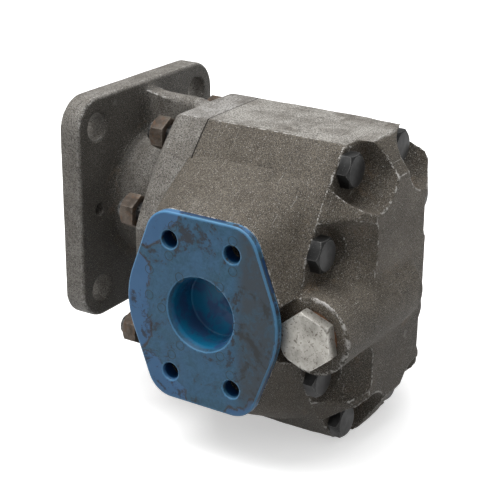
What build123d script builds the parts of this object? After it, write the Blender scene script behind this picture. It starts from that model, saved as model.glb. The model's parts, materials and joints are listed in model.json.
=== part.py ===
from build123d import *
from math import acos, cos, hypot, pi, sin, sqrt, tan
import os

# External gear pump: two spur gears in a cast iron body, closed by a mounting cover.
# Units are millimetres. +X runs along the drive shaft from the mounting face to the
# rear end, -Y is the inlet side, +Y the outlet side and +Z is up. The origin is where
# the drive shaft's axis meets the mounting face.

# ---- driving dimensions ----
# mounting plate: four-bolt pattern with a round pilot
PLATE_SIDE = 121.0
PLATE_T = 12.1
PLATE_CORNER_R = 17.0
PLATE_EDGE_R = 2.0
PLATE_HOLE_SPACING = 89.8
PLATE_HOLE_R = 7.15
PLATE_HOLE_CHAMFER = 1.2
JACK_HOLE_R = 3.4
PILOT_R = 50.8
PILOT_T = 6.4

# stations along the shaft
COVER_FRONT_X = 45.0
COVER_EDGE_R = 6.0
JOINT_X = 66.7              # mounting cover meets pump body
CHAMBER_END_X = 127.0       # closed end of the gear chamber
REAR_FACE_X = 165.5

# body cross-section, symmetric about the level midway between the two gears
GEAR_CENTRES = 52.0
MID_Z = -GEAR_CENTRES / 2
HALF_HEIGHT = 79.2
HALF_WIDTH = 61.7
STRIP_HALF_WIDTH = 24.2
SHOULDER_HEIGHT = 28.4      # half-height of the upright sides
SHOULDER_BULGE = 2.6        # how far each sloping shoulder bows outwards

# through bolts, given as offsets from the section's centre
BOLT_POINTS = [(24.25, 67.0), (50.65, 32.5)]
BOLT_R = 5.0
BOLT_HOLE_R = 5.25
HEX_FLATS = 16.0
HEAD_TURN = 30.0
HEAD_H = 6.5
NUT_H = 8.4
CROWN_H = 2.1               # chamfered part of a head or nut
CROWN_R = (7.5, 9.9)        # chamfer's cone at the outer face and where it leaves the corners
HEAD_SEAT_X = 145.5
NUT_SEAT_X = 43.5
NUT_SPOT_R = 10.4
THREAD_STICK_OUT = 3.0

# neck between the plate and the cover
NECK_R_PLATE = 33.5
NECK_R_COVER = 37.0
DRIVEN_BOSS_R = 27.0
DRIVEN_BOSS_X = 36.0
WEB_HALF_T = 4.5
WEB_TOP_Z = 55.6

# gears
TEETH = 13
MODULE = 4.0
PRESSURE_ANGLE = 20.0 * pi / 180
TIP_R = 29.7
ROOT_R = 20.9
TOOTH_THINNING = 0.35       # taken off each tooth's thickness at the pitch circle
CHAMBER_R = 30.1
THRUST_PLATE_R = 29.95
THRUST_PLATE_T = 8.0
END_GAP = 0.06

# shafts and bushes
JOURNAL_R = 15.0
BUSH_BORE_R = 15.04
BUSH_R = 17.98
BUSH_SEAT_R = 18.0
BUSH_L = 22.0
PLATE_SHAFT_HOLE_R = 15.4
SEAL_JOURNAL_R = 14.0
SHAFT_END_R = 11.1125
SHAFT_END_X = -41.2
KEY_W = 6.35
KEY_L = 25.4
KEY_TOP = 13.9              # key's outer face from the shaft's axis

# shaft seal
SEAL_BORE_R = 21.0
SEAL_X = (4.0, 12.0)
RING_X = (1.6, 3.2)

# ports
PORT_X = 99.3
INLET_R = 19.05
INLET_SPACING = (35.7, 69.9)
INLET_TAP_R = 5.1
INLET_FACE_Y = -75.5
OUTLET_R = 15.9
OUTLET_THROAT_R = 12.5
OUTLET_THROAT_Y = 30.5      # the outlet narrows here on its way into the gear chamber
OUTLET_SPACING = (30.2, 58.7)
OUTLET_TAP_R = 4.25
OUTLET_FACE_Y = 72.0
TAP_DEPTH = 16.0
PAD_LUG_R = 14.2
PAD_WAIST_R = 43.2
PAD_MARGIN = 0.4            # how much wider the casting's waist is than the cap's
OUTLET_LUG_R = 11.5
OUTLET_WAIST_R = 36.0
PAD_DRAFT = 28.0            # degrees, sides of the ports' pads
PAD_DEPTH = 34.0

# relief valve across the rear end
VALVE_X = 154.0
VALVE_Z = -28.5
VALVE_BOSS_R = 19.6
VALVE_FACE_Y = -67.0
VALVE_BOSS_END_Y = 17.0
VALVE_BOSS_END_FILLET = 8.0
VALVE_BORE_R = 10.2
VALVE_BORE_END_Y = -30.0
DRILLING_R = 3.5
RETURN_Y = -44.0
PRESSURE_Y = 42.0
PLUG_FLATS = 26.0
PLUG_CROWN_R = (15.86, 13.52)
PLUG_FACE_Y = -74.9
PLUG_TURN = 10.0            # degrees, how far the hexagon happens to be turned

# slopes that take the outline in towards the rear face: start, run along X, drop
CREST_SLOPES = {1: (153.0, 12.0, 17.0), -1: (149.5, 16.0, 24.0)}
SHOULDER_SLOPES = {-1: (145.0, 20.0, 13.0), 1: (156.5, 9.0, 9.0)}
SIDE_SLOPE = (148.0, 17.5, 34.0)

# scoops that clear the bolt heads at the rear end
INLET_CORNER_SCOOP = [(145.5, 16.2), (171.5, 19.4)]
OUTLET_CORNER_SCOOP = [(145.5, 10.8), (150.0, 10.8), (160.5, 19.4), (171.5, 19.4)]
SIDE_SCOOP_R = 14.0
VALLEY_HALF_H = 15.5
VALLEY_CORNER_R = 9.0
VALLEY_FLOOR_Y = 45.0       # where a side valley leaves its bolt seat
VALLEY_EDGE_Y = 25.5        # where it runs out onto the rear face
SCOOP_REACH = 26.0

# joint seal and dowels
SEAL_GROOVE_R = 36.0
SEAL_GROOVE_W = 3.2
SEAL_GROOVE_D = 2.4
DOWEL_R = 4.0
DOWEL_HALF_L = 7.0
DOWEL_POINTS = [(-37.5, 49.5), (37.5, -49.5)]

# protective port cap
CAP_T = 4.4
CAP_EDGE_R = 0.8
CAP_MOUTH_R = 19.2          # the recess flares out to this at the cap's face
CAP_FLARE = 3.6
CAP_RECESS_R = 17.5
CAP_CUP_R = 18.8
CAP_CUP_END = 1.5
CAP_DEPTH = 18.0
PEG_R = 4.95
PEG_BORE_R = 4.3
PEG_MOUTH_R = 4.8
PEG_FLARE = 1.2
PEG_DEPTH = 15.0


# ---- helpers ----
def x_cyl(radius, x0, x1, y=0.0, z=0.0):
    return Pos((x0 + x1) / 2, y, z) * Rot(0, 90, 0) * Cylinder(radius, x1 - x0)


def y_cyl(radius, y0, y1, x=0.0, z=0.0):
    return Pos(x, (y0 + y1) / 2, z) * Rot(90, 0, 0) * Cylinder(radius, y1 - y0)


def x_cone(r0, r1, x0, x1, y=0.0, z=0.0):
    return Pos((x0 + x1) / 2, y, z) * Rot(0, 90, 0) * Cone(r0, r1, x1 - x0)


def box(x0, x1, y0, y1, z0, z1):
    middle = Pos((x0 + x1) / 2, (y0 + y1) / 2, (z0 + z1) / 2)
    return middle * Box(x1 - x0, y1 - y0, z1 - z0)


def beyond(point, normal):
    """Everything on the outer side of a plane."""
    return Plane(origin=point, z_dir=normal) * Pos(0, 0, 150) * Box(600, 600, 300)


def hexagon_x(flats, x0, x1, y=0.0, z=0.0, turn=0.0):
    profile = RegularPolygon(flats / 2, 6, major_radius=False, rotation=turn)
    return extrude(Plane(origin=(x0, y, z), z_dir=(1, 0, 0)) * profile, x1 - x0)


def all_bolts():
    for y, dz in BOLT_POINTS:
        for side in (-1, 1):
            for half in (-1, 1):
                yield side * y, MID_Z + half * dz


def body_section():
    """Outline of the castings in the YZ plane, drawn about the section's centre."""
    w, h = STRIP_HALF_WIDTH, HALF_HEIGHT
    s, e = HALF_WIDTH, SHOULDER_HEIGHT
    run = hypot(s - w, h - e)
    bulge_y = (w + s) / 2 + SHOULDER_BULGE * (h - e) / run
    bulge_z = (h + e) / 2 + SHOULDER_BULGE * (s - w) / run
    edges = []
    for side, half in ((1, 1), (1, -1), (-1, -1), (-1, 1)):
        strip = (side * w, half * h)
        bulge = (side * bulge_y, half * bulge_z)
        shoulder = (side * s, half * e)
        edges.append(ThreePointArc(strip, bulge, shoulder))
    for side in (-1, 1):
        edges.append(Line((side * s, e), (side * s, -e)))
    for half in (-1, 1):
        edges.append(Line((w, half * h), (-w, half * h)))
    return make_face(edges)


def body_slice(x0, x1):
    start = Plane(origin=(x0, 0, MID_Z), x_dir=(0, 1, 0), z_dir=(1, 0, 0))
    return extrude(start * body_section(), x1 - x0)


def figure_eight(radius, x0, x1):
    return x_cyl(radius, x0, x1) + x_cyl(radius, x0, x1, z=-GEAR_CENTRES)


def stadium(radius, x0, x1):
    return figure_eight(radius, x0, x1) + box(x0, x1, -radius, radius, -GEAR_CENTRES, 0)


def stadium_ring(mid_r, width, x0, x1):
    return stadium(mid_r + width / 2, x0, x1) - stadium(mid_r - width / 2, x0, x1)


def port_outline(spacing, lug_r, waist_r):
    """Flange outline in the XZ plane: four lugs joined by tangents to a round waist."""
    half_x, half_z = spacing[0] / 2, spacing[1] / 2
    lugs = [(sx * half_x, sz * half_z) for sx in (-1, 1) for sz in (-1, 1)]
    discs = [Pos(x, z) * Circle(lug_r) for x, z in lugs] + [Circle(waist_r)]
    profile = discs[0] + discs[1:]
    profile += Rectangle(2 * half_x, 2 * (half_z + lug_r))
    distance = hypot(half_x, half_z)
    lug_angle = acos(half_x / distance)
    spread = acos((waist_r - lug_r) / distance)
    for sx in (-1, 1):
        for sz in (-1, 1):
            angle = lug_angle - spread
            direction = (sx * cos(angle), sz * sin(angle))
            waist_point = (waist_r * direction[0], waist_r * direction[1])
            lug = (sx * half_x, sz * half_z)
            lug_point = (lug[0] + lug_r * direction[0], lug[1] + lug_r * direction[1])
            profile += make_face(Polyline((0, 0), waist_point, lug_point, lug, close=True))
    return profile


def port_plane(y):
    """Plane that faces +Y at the ports' centre, with its own x along -X."""
    return Plane(origin=(PORT_X, y, MID_Z), x_dir=(-1, 0, 0), z_dir=(0, 1, 0))


def port_taps(spacing, radius, y0, y1):
    for sx in (-0.5, 0.5):
        for sz in (-0.5, 0.5):
            yield y_cyl(radius, y0, y1, PORT_X + sx * spacing[0], MID_Z + sz * spacing[1])


def subtract(part, cutters):
    for cutter in cutters:
        part -= cutter
    return part


# ---- castings ----
def make_mounting_cover():
    square = RectangleRounded(PLATE_SIDE, PLATE_SIDE, PLATE_CORNER_R)
    part = extrude(Plane.YZ * square, PLATE_T)
    part = fillet(part.faces().sort_by(Axis.X)[-1].edges(), PLATE_EDGE_R)
    part += x_cyl(PILOT_R, -PILOT_T, 0)
    part += x_cone(NECK_R_PLATE, NECK_R_COVER, PLATE_T - 1, COVER_FRONT_X + 1)
    flange = body_slice(COVER_FRONT_X, JOINT_X)
    part += fillet(flange.faces().sort_by(Axis.X)[0].edges(), COVER_EDGE_R)
    part += x_cone(DRIVEN_BOSS_R - 3, DRIVEN_BOSS_R, DRIVEN_BOSS_X, COVER_FRONT_X + 1, z=-GEAR_CENTRES)

    # stiffening web from the plate's top to the cover's top, with a rounded crest
    web_points = [(PLATE_T - 1, 20), (PLATE_T - 1, PLATE_SIDE / 2 - 4), (PLATE_T + 4, WEB_TOP_Z),
                  (COVER_FRONT_X, WEB_TOP_Z - 0.6), (COVER_FRONT_X + 8, 50), (COVER_FRONT_X + 8, 20)]
    web_face = make_face(Polyline(*web_points, close=True))
    web = extrude(Plane.XZ * web_face, WEB_HALF_T, both=True)
    crest = [edge for edge in web.edges() if edge.center().Z > 50 and abs(edge.center().Y) > 1
             and edge.length > 20]
    part += fillet(crest, WEB_HALF_T - 0.5)

    # plate holes, opened slightly on the pump side
    half = PLATE_HOLE_SPACING / 2
    for y in (-half, half):
        for z in (-half, half):
            part -= x_cyl(PLATE_HOLE_R, -1, PLATE_T + 1, y, z)
            part -= x_cone(PLATE_HOLE_R, PLATE_HOLE_R + PLATE_HOLE_CHAMFER,
                           PLATE_T - PLATE_HOLE_CHAMFER, PLATE_T, y, z)
    part -= x_cyl(JACK_HOLE_R, -PILOT_T - 1, PLATE_T + 1, -half, 0)

    # shaft tunnel: seal bore with a ring groove, clearance bore, two bush bores
    part -= x_cyl(SEAL_BORE_R, -PILOT_T - 1, SEAL_X[1])
    part -= x_cyl(SEAL_BORE_R + 1.4, RING_X[0] - 0.1, RING_X[1] + 0.1)
    part -= x_cyl(JOURNAL_R + 0.6, 0, JOINT_X + 1)
    bush_x = JOINT_X - BUSH_L - 0.5
    part -= x_cyl(BUSH_SEAT_R, bush_x, JOINT_X + 1)
    part -= x_cyl(BUSH_SEAT_R, bush_x, JOINT_X + 1, z=-GEAR_CENTRES)

    for y, z in all_bolts():
        part -= x_cyl(BOLT_HOLE_R, 30, JOINT_X + 1, y, z)
        part -= x_cyl(NUT_SPOT_R, NUT_SEAT_X - 14, NUT_SEAT_X, y, z)
    for y, dz in DOWEL_POINTS:
        part -= x_cyl(DOWEL_R, JOINT_X - DOWEL_HALF_L - 0.3, JOINT_X + 1, y, MID_Z + dz)
    part -= stadium_ring(SEAL_GROOVE_R, SEAL_GROOVE_W, JOINT_X - SEAL_GROOVE_D, JOINT_X + 1)
    return part


def port_pad(face_y, inward, spacing, lug_r, waist_r):
    """Raised pad around a port, with drafted sides that run into the casting."""
    outline = port_plane(face_y) * port_outline(spacing, lug_r, waist_r)
    return extrude(outline, inward * PAD_DEPTH, taper=-PAD_DRAFT)


def corner_scoop(side, half):
    """Round pocket over a corner bolt's head: open on the inlet side, a flared bowl on the other."""
    corner_y, corner_z = BOLT_POINTS[0]
    stations = INLET_CORNER_SCOOP if side < 0 else OUTLET_CORNER_SCOOP
    pocket = Part()
    for (x0, r0), (x1, r1) in zip(stations, stations[1:]):
        y, z = side * corner_y, MID_Z + half * corner_z
        pocket += x_cyl(r0, x0, x1, y, z) if r0 == r1 else x_cone(r0, r1, x0, x1, y, z)
    return pocket


def side_valley(side, z):
    """Flat-bottomed trough from a side bolt's seat up to the rear face."""
    run_x = REAR_FACE_X - HEAD_SEAT_X
    run_y = VALLEY_FLOOR_Y - VALLEY_EDGE_Y
    origin = (HEAD_SEAT_X, side * VALLEY_FLOOR_Y, z)
    slope = Plane(origin=origin, x_dir=(run_x, -side * run_y, 0), z_dir=(run_y, side * run_x, 0))
    trough = Pos(0, 0, SCOOP_REACH / 2) * Box(4 * SCOOP_REACH, 2 * VALLEY_HALF_H, SCOOP_REACH)
    floor_edges = [edge for edge in trough.edges()
                   if abs(edge.center().Z) < 0.1 and abs(edge.center().Y) > VALLEY_HALF_H - 0.1]
    return slope * fillet(floor_edges, VALLEY_CORNER_R) & box(HEAD_SEAT_X, 300, -200, 200, -300, 200)


def make_pump_body():
    part = body_slice(JOINT_X, REAR_FACE_X)
    part = cut_rear_slopes(part)
    part += port_pad(INLET_FACE_Y, 1, INLET_SPACING, PAD_LUG_R, PAD_WAIST_R + PAD_MARGIN)
    part += port_pad(OUTLET_FACE_Y, -1, OUTLET_SPACING, OUTLET_LUG_R, OUTLET_WAIST_R)
    part &= box(JOINT_X, 300, -100, 100, -200, 100)

    # valleys at the side bolts, then the valve boss, then the corner scoops
    side_y, side_z = BOLT_POINTS[1]
    quadrants = [(side, half) for side in (-1, 1) for half in (-1, 1)]
    for side, half in quadrants:
        part -= side_valley(side, MID_Z + half * side_z)
    boss = y_cyl(VALVE_BOSS_R, VALVE_FACE_Y, VALVE_BOSS_END_Y, VALVE_X, VALVE_Z)
    part += fillet(boss.faces().sort_by(Axis.Y)[-1].edges(), VALVE_BOSS_END_FILLET)
    part -= y_cyl(VALVE_BOSS_R, INLET_FACE_Y - 1, VALVE_FACE_Y, VALVE_X, VALVE_Z)
    reach = HEAD_SEAT_X + SCOOP_REACH
    for side, half in quadrants:
        part -= corner_scoop(side, half)
        part -= x_cyl(SIDE_SCOOP_R, HEAD_SEAT_X, reach, side * side_y, MID_Z + half * side_z)

    # gear chamber, bush bores, ports and their tapped holes
    part -= figure_eight(CHAMBER_R, JOINT_X - 1, CHAMBER_END_X)
    part -= figure_eight(BUSH_SEAT_R, CHAMBER_END_X - 1, CHAMBER_END_X + BUSH_L + 0.5)
    part -= y_cyl(INLET_R, INLET_FACE_Y - 1, -16, PORT_X, MID_Z)
    part -= y_cyl(OUTLET_R, OUTLET_THROAT_Y, OUTLET_FACE_Y + 1, PORT_X, MID_Z)
    part -= y_cyl(OUTLET_THROAT_R, 14, OUTLET_THROAT_Y + 1, PORT_X, MID_Z)
    inlet_taps = port_taps(INLET_SPACING, INLET_TAP_R, INLET_FACE_Y - 1, INLET_FACE_Y + TAP_DEPTH)
    outlet_taps = port_taps(OUTLET_SPACING, OUTLET_TAP_R, OUTLET_FACE_Y - TAP_DEPTH, OUTLET_FACE_Y + 1)
    part = subtract(part, inlet_taps)
    part = subtract(part, outlet_taps)

    for y, z in all_bolts():
        part -= x_cyl(BOLT_HOLE_R, JOINT_X - 1, HEAD_SEAT_X + 1, y, z)
    for y, dz in DOWEL_POINTS:
        part -= x_cyl(DOWEL_R, JOINT_X - 1, JOINT_X + DOWEL_HALF_L + 0.3, y, MID_Z + dz)

    # relief valve bore, and drillings from it to the outlet and back to the inlet
    part -= y_cyl(VALVE_BORE_R, VALVE_FACE_Y - 1, VALVE_BORE_END_Y, VALVE_X, VALVE_Z)
    part -= y_cyl(DRILLING_R, VALVE_BORE_END_Y - 1, PRESSURE_Y, VALVE_X, VALVE_Z)
    for y in (RETURN_Y, PRESSURE_Y):
        part -= x_cyl(DRILLING_R, PORT_X + 8, VALVE_X, y, VALVE_Z)
    return part


def cut_rear_slopes(part):
    """Sloping end faces around the rear: two crests, four shoulders, two sides."""
    run = hypot(HALF_WIDTH - STRIP_HALF_WIDTH, HALF_HEIGHT - SHOULDER_HEIGHT)
    out_y = (HALF_HEIGHT - SHOULDER_HEIGHT) / run
    out_z = (HALF_WIDTH - STRIP_HALF_WIDTH) / run
    shoulder_y = (STRIP_HALF_WIDTH + HALF_WIDTH) / 2 + SHOULDER_BULGE * out_y
    shoulder_z = (HALF_HEIGHT + SHOULDER_HEIGHT) / 2 + SHOULDER_BULGE * out_z
    for half, (start_x, run_x, drop) in CREST_SLOPES.items():
        part -= beyond((start_x, 0, MID_Z + half * HALF_HEIGHT), (drop, 0, half * run_x))
        for side, (start_x, run_x, drop) in SHOULDER_SLOPES.items():
            point = (start_x, side * shoulder_y, MID_Z + half * shoulder_z)
            part -= beyond(point, (drop, side * run_x * out_y, half * run_x * out_z))
    start_x, run_x, drop = SIDE_SLOPE
    for side in (-1, 1):
        part -= beyond((start_x, side * HALF_WIDTH, MID_Z), (drop, side * run_x, 0))
    return part


# ---- gears and shafts ----
def involute_angle(base_r, radius):
    """Polar angle at which an involute that starts at angle 0 reaches a radius."""
    roll = sqrt(max(radius**2 / base_r**2 - 1, 0.0))
    return roll - acos(min(base_r / radius, 1.0))


def gear_profile():
    """A spur gear's outline, drawn tooth by tooth from the one that points up."""
    pitch_r = MODULE * TEETH / 2
    base_r = pitch_r * cos(PRESSURE_ANGLE)
    half_tooth = (pi * MODULE / 2 - TOOTH_THINNING) / (2 * pitch_r)
    half_base = half_tooth + tan(PRESSURE_ANGLE) - PRESSURE_ANGLE
    flank_radii = [base_r + (TIP_R - base_r) * step / 4 for step in range(5)]

    def polar(radius, angle):
        return (radius * sin(angle), radius * cos(angle))

    edges = []
    pitch_angle = 2 * pi / TEETH
    for tooth in range(TEETH):
        middle = tooth * pitch_angle
        left = [polar(r, middle - half_base + involute_angle(base_r, r)) for r in flank_radii]
        right = [polar(r, middle + half_base - involute_angle(base_r, r)) for r in flank_radii]
        root_left = polar(ROOT_R, middle - half_base)
        root_right = polar(ROOT_R, middle + half_base)
        next_root = polar(ROOT_R, middle + pitch_angle - half_base)
        gap_middle = polar(ROOT_R, middle + pitch_angle / 2)
        edges.append(Line(root_left, left[0]))
        edges.append(Spline(*left))
        edges.append(ThreePointArc(left[-1], polar(TIP_R, middle), right[-1]))
        edges.append(Spline(*reversed(right)))
        edges.append(Line(right[0], root_right))
        edges.append(ThreePointArc(root_right, gap_middle, next_root))
    return make_face(edges)


GEAR_X0 = JOINT_X + END_GAP + THRUST_PLATE_T + END_GAP
GEAR_X1 = CHAMBER_END_X - END_GAP - THRUST_PLATE_T - END_GAP


def make_gear(z):
    """A gear with one tooth pointing up. The tooth count is odd, so the drive gear has a gap
    pointing down, and the driven gear's upward tooth meshes with it."""
    face = Plane(origin=(GEAR_X0, 0, z), x_dir=(0, 1, 0), z_dir=(1, 0, 0)) * gear_profile()
    return extrude(face, GEAR_X1 - GEAR_X0)


def make_drive_gear_shaft():
    """Gear, journals, seal journal and keyed end in one forging."""
    part = make_gear(0)
    part += x_cyl(JOURNAL_R, JOINT_X - BUSH_L - 0.3, CHAMBER_END_X + BUSH_L)
    part += x_cyl(SEAL_JOURNAL_R, 0, JOINT_X - BUSH_L)
    end = x_cyl(SHAFT_END_R, SHAFT_END_X, 1)
    part += chamfer(end.faces().sort_by(Axis.X)[0].edges(), 1.2)
    key_x = SHAFT_END_X + 3
    part -= box(key_x - 0.1, key_x + KEY_L + 0.1, -KEY_W / 2, KEY_W / 2, KEY_TOP - KEY_W, KEY_TOP + 1)
    return part


def make_driven_gear_shaft():
    part = make_gear(-GEAR_CENTRES)
    return part + x_cyl(JOURNAL_R, JOINT_X - BUSH_L, CHAMBER_END_X + BUSH_L, z=-GEAR_CENTRES)


def make_bush(x0, z):
    part = x_cyl(BUSH_R, x0, x0 + BUSH_L, z=z)
    return part - x_cyl(BUSH_BORE_R, x0 - 1, x0 + BUSH_L + 1, z=z)


def pressure_seal_shape(width, x0, x1):
    """Figure-eight seal: a ring about each shaft, joined by a short bar."""
    ring_r = 22.5
    part = Part()
    for z in (0, -GEAR_CENTRES):
        part += x_cyl(ring_r + width / 2, x0, x1, z=z) - x_cyl(ring_r - width / 2, x0 - 1, x1 + 1, z=z)
    gap = GEAR_CENTRES / 2 - ring_r
    return part + box(x0, x1, -width / 2, width / 2, MID_Z - gap, MID_Z + gap)


def make_thrust_plate(x0, groove_x0, groove_x1):
    part = figure_eight(THRUST_PLATE_R, x0, x0 + THRUST_PLATE_T)
    part -= figure_eight(PLATE_SHAFT_HOLE_R, x0 - 1, x0 + THRUST_PLATE_T + 1)
    return part - pressure_seal_shape(2.6, groove_x0, groove_x1)


# ---- seals, dowels and fasteners ----
def make_shaft_seal():
    """Metal-cased lip seal drawn as one ring with a hollow on its pressure side."""
    part = x_cyl(SEAL_BORE_R - 0.03, *SEAL_X) - x_cyl(SEAL_JOURNAL_R + 0.06, SEAL_X[0] - 1, SEAL_X[1] + 1)
    hollow = x_cyl(SEAL_BORE_R - 2, SEAL_X[0] + 2.5, SEAL_X[1] + 1)
    hollow -= x_cyl(SEAL_JOURNAL_R + 2, SEAL_X[0], SEAL_X[1] + 2)
    return part - hollow


def make_seal_retaining_ring():
    part = x_cyl(SEAL_BORE_R + 1.2, *RING_X) - x_cyl(SEAL_BORE_R - 2.4, RING_X[0] - 1, RING_X[1] + 1)
    return part - box(RING_X[0] - 1, RING_X[1] + 1, -4, 4, 10, 30)


def make_dowel_pins():
    x0, x1 = JOINT_X - DOWEL_HALF_L, JOINT_X + DOWEL_HALF_L
    return Compound([x_cyl(DOWEL_R - 0.02, x0, x1, y, MID_Z + dz) for y, dz in DOWEL_POINTS])


def make_through_bolts():
    bolts = []
    for y, z in all_bolts():
        shank = x_cyl(BOLT_R, NUT_SEAT_X - NUT_H - THREAD_STICK_OUT, HEAD_SEAT_X + 1, y, z)
        top_x = HEAD_SEAT_X + HEAD_H
        head = hexagon_x(HEX_FLATS, HEAD_SEAT_X, top_x, y, z, HEAD_TURN)
        crown = x_cone(CROWN_R[1], CROWN_R[0], top_x - CROWN_H, top_x, y, z)
        crown += x_cyl(HEX_FLATS, HEAD_SEAT_X - 1, top_x - CROWN_H, y, z)
        bolts.append(shank + (head & crown))
    return Compound([solid for bolt in bolts for solid in bolt.solids()])


def make_bolt_nuts():
    nuts = []
    for y, z in all_bolts():
        top_x = NUT_SEAT_X - NUT_H
        nut = hexagon_x(HEX_FLATS, top_x, NUT_SEAT_X, y, z)
        crown = x_cone(*CROWN_R, top_x, top_x + CROWN_H, y, z)
        crown += x_cyl(HEX_FLATS, top_x + CROWN_H, NUT_SEAT_X + 1, y, z)
        nuts.append((nut & crown) - x_cyl(BOLT_R + 0.04, 20, NUT_SEAT_X + 1, y, z))
    return Compound([solid for nut in nuts for solid in nut.solids()])


def make_shaft_key():
    key_x = SHAFT_END_X + 3
    half = KEY_W / 2 - 0.01
    return box(key_x, key_x + KEY_L, -half, half, KEY_TOP - KEY_W + 0.01, KEY_TOP)


# ---- relief valve ----
PLUG_SEAT_Y = VALVE_FACE_Y - 1.2
PLUG_END_Y = -56.0
SPRING_END_Y = -43.0
POPPET_SHOULDER_Y = -40.0
SEAT_FACE_Y = -36.0


def make_relief_valve_plug():
    profile = RegularPolygon(PLUG_FLATS / 2, 6, major_radius=False, rotation=30 - PLUG_TURN)
    plane = Plane(origin=(VALVE_X, PLUG_FACE_Y, VALVE_Z), x_dir=(-1, 0, 0), z_dir=(0, 1, 0))
    face = plane * profile
    part = extrude(face, PLUG_SEAT_Y - PLUG_FACE_Y)
    crown = Pos(VALVE_X, PLUG_FACE_Y + 1, VALVE_Z) * Rot(90, 0, 0) * Cone(*PLUG_CROWN_R, 2)
    crown += y_cyl(PLUG_FLATS, PLUG_FACE_Y + 2, PLUG_SEAT_Y + 1, VALVE_X, VALVE_Z)
    part &= crown
    part += y_cyl(VALVE_BORE_R - 0.1, PLUG_SEAT_Y - 1, PLUG_END_Y, VALVE_X, VALVE_Z)
    return part + y_cyl(4.5, PLUG_END_Y - 1, PLUG_END_Y + 4, VALVE_X, VALVE_Z)


def make_plug_seal_ring():
    ring = y_cyl(13.2, PLUG_SEAT_Y, VALVE_FACE_Y, VALVE_X, VALVE_Z)
    return ring - y_cyl(VALVE_BORE_R, PLUG_SEAT_Y - 1, VALVE_FACE_Y + 1, VALVE_X, VALVE_Z)


def make_relief_valve_seat():
    seat = y_cyl(VALVE_BORE_R - 0.02, SEAT_FACE_Y, VALVE_BORE_END_Y, VALVE_X, VALVE_Z)
    return seat - y_cyl(4.0, SEAT_FACE_Y - 1, VALVE_BORE_END_Y + 1, VALVE_X, VALVE_Z)


def make_relief_poppet():
    """Shoulder, guide stem for the spring and a conical nose that closes the seat."""
    part = y_cyl(8.8, SPRING_END_Y, POPPET_SHOULDER_Y, VALVE_X, VALVE_Z)
    part += y_cyl(4.5, SPRING_END_Y - 4, SPRING_END_Y + 1, VALVE_X, VALVE_Z)
    nose_y0, nose_y1 = POPPET_SHOULDER_Y - 0.5, SEAT_FACE_Y + 2
    nose = Rot(90, 0, 0) * Cone(1.6, 6.6, nose_y1 - nose_y0)
    return part + Pos(VALVE_X, (nose_y0 + nose_y1) / 2, VALVE_Z) * nose


def make_relief_spring():
    wire_r, coil_r = 0.9, 6.6
    length = SPRING_END_Y - PLUG_END_Y - 2 * wire_r - 0.4
    path = Helix(pitch=length / 4, height=length, radius=coil_r)
    start = Plane(origin=path @ 0, z_dir=path % 0)
    coil = sweep(start * Circle(wire_r), path=path, is_frenet=True)
    return Pos(VALVE_X, SPRING_END_Y - wire_r - 0.2, VALVE_Z) * Rot(90, 0, 0) * coil


# ---- port cap ----
def flare(mouth_r, bore_r, mouth_y, depth, x, z):
    """Cone that widens a hole towards its mouth on a face that looks along -Y."""
    return Pos(x, mouth_y + depth / 2, z) * Rot(90, 0, 0) * Cone(bore_r, mouth_r, depth)


def make_inlet_port_cap():
    """Moulded plug-in cap: a lobed flange with a cup for the port and a hollow peg per bolt hole."""
    gap = 0.1
    back_y = INLET_FACE_Y - gap
    front_y = back_y - CAP_T
    flange = extrude(port_plane(front_y) * port_outline(INLET_SPACING, PAD_LUG_R, PAD_WAIST_R), CAP_T)
    part = fillet(flange.faces().sort_by(Axis.Y)[0].edges(), CAP_EDGE_R)
    part += y_cyl(CAP_CUP_R, back_y - 1, front_y + CAP_DEPTH + CAP_CUP_END, PORT_X, MID_Z)
    part -= y_cyl(CAP_RECESS_R, front_y - 1, front_y + CAP_DEPTH, PORT_X, MID_Z)
    part -= flare(CAP_MOUTH_R, CAP_RECESS_R, front_y, CAP_FLARE, PORT_X, MID_Z)
    for peg in port_taps(INLET_SPACING, PEG_R, back_y - 1, front_y + PEG_DEPTH):
        part += peg
    part = subtract(part, port_taps(INLET_SPACING, PEG_BORE_R, front_y - 1, front_y + PEG_DEPTH - 1.2))
    for sx in (-0.5, 0.5):
        for sz in (-0.5, 0.5):
            peg_x, peg_z = PORT_X + sx * INLET_SPACING[0], MID_Z + sz * INLET_SPACING[1]
            part -= flare(PEG_MOUTH_R, PEG_BORE_R, front_y, PEG_FLARE, peg_x, peg_z)
    return part


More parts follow.
